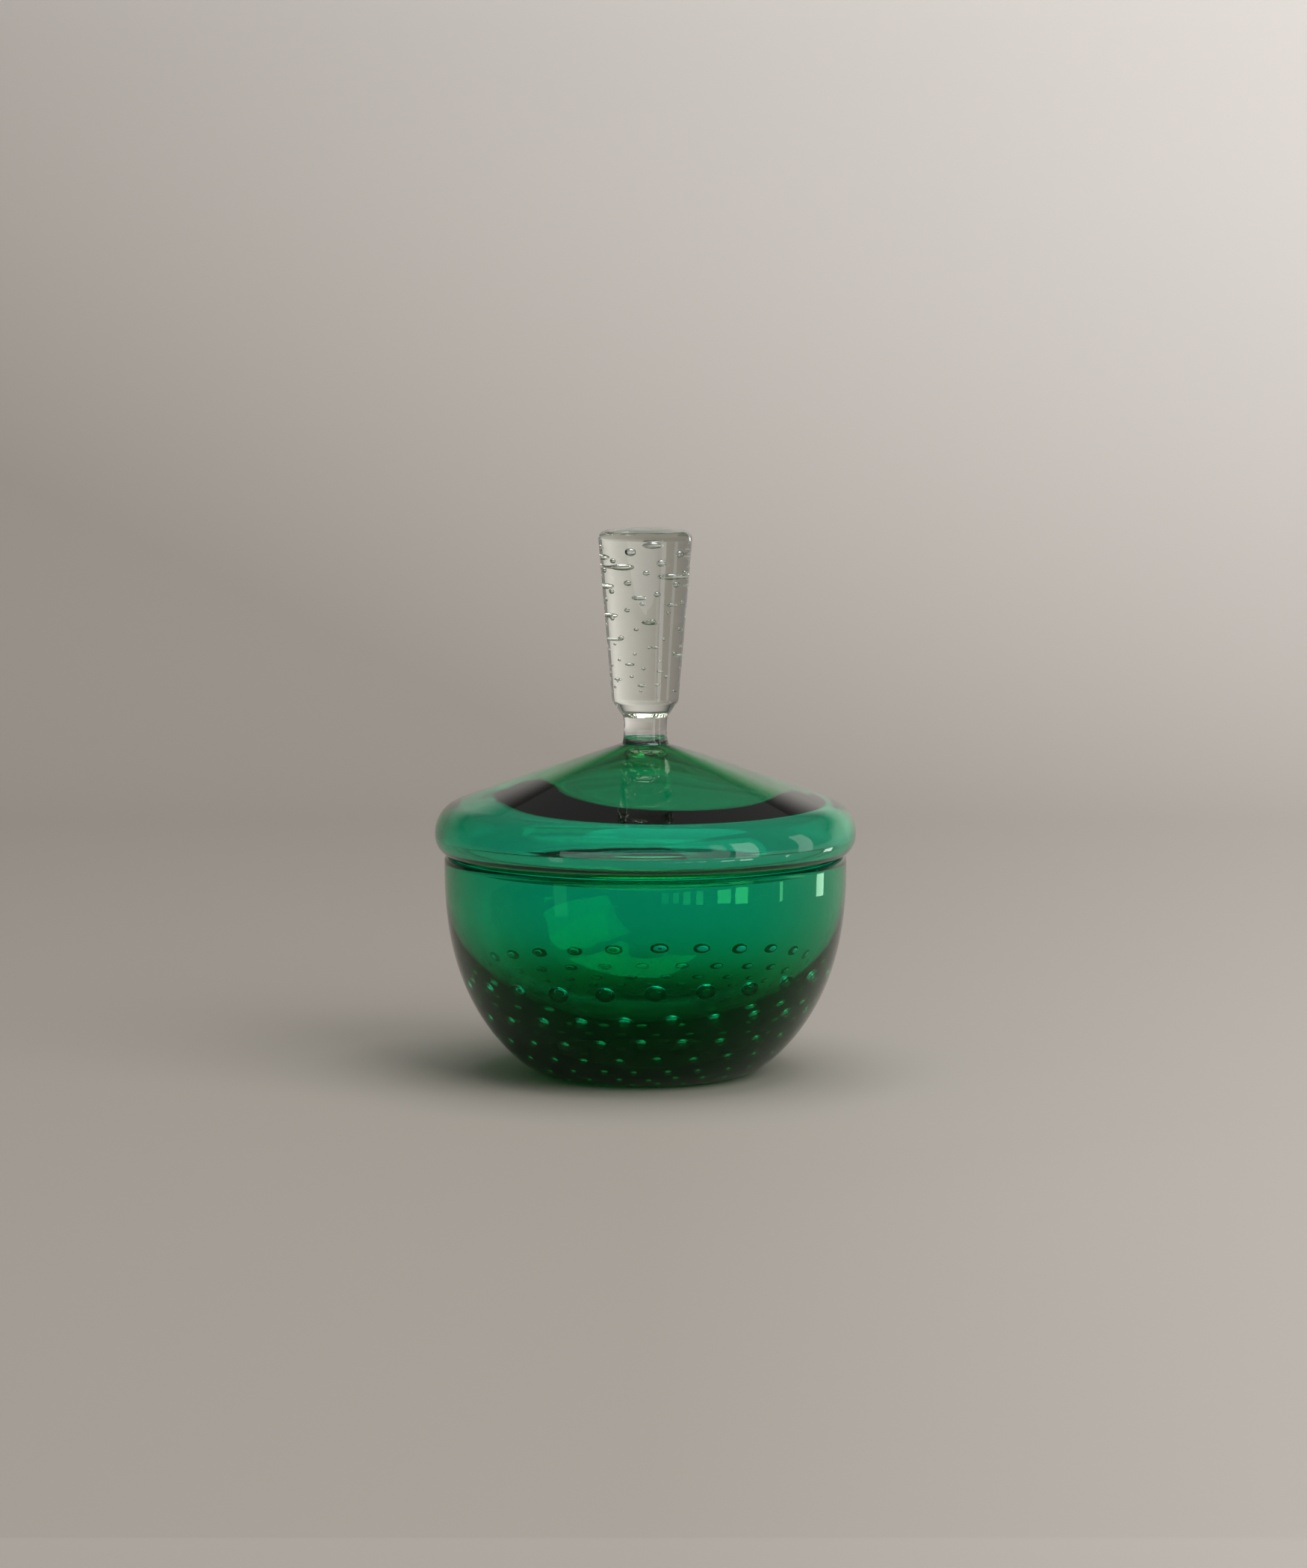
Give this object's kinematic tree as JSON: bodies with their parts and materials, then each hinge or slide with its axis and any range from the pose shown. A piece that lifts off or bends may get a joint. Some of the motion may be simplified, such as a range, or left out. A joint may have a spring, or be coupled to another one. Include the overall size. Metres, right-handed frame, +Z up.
{
  "type": "powder jar",
  "caption": "Round covered powder jar in emerald bubble glass, with a domed lift-off lid and a tall tapering clear glass finial.",
  "frame": {"origin": "centre of the flat foot, on the surface the jar stands on", "axes": "+Z up along the jar's axis, through the finial; the jar is round, so +X and +Y are free"},
  "size_m": [0.1354, 0.1354, 0.1757],
  "materials": {
    "emerald_glass": "polished, emerald green, with rings of trapped air bubbles",
    "sea_green_glass": "polished, sea green, plain",
    "clear_glass": "polished, clear, with a spiral of small trapped air bubbles"
  },
  "bodies": {
    "bowl": {"bowl": "emerald_glass"},
    "lid": {"lid": "sea_green_glass", "finial": "clear_glass"}
  },
  "joints": [
    {"name": "lid_lift", "type": "slide", "parent": "bowl", "child": "lid", "axis": [0, 0, 1], "range_m": [0, 0.12]}
  ]
}
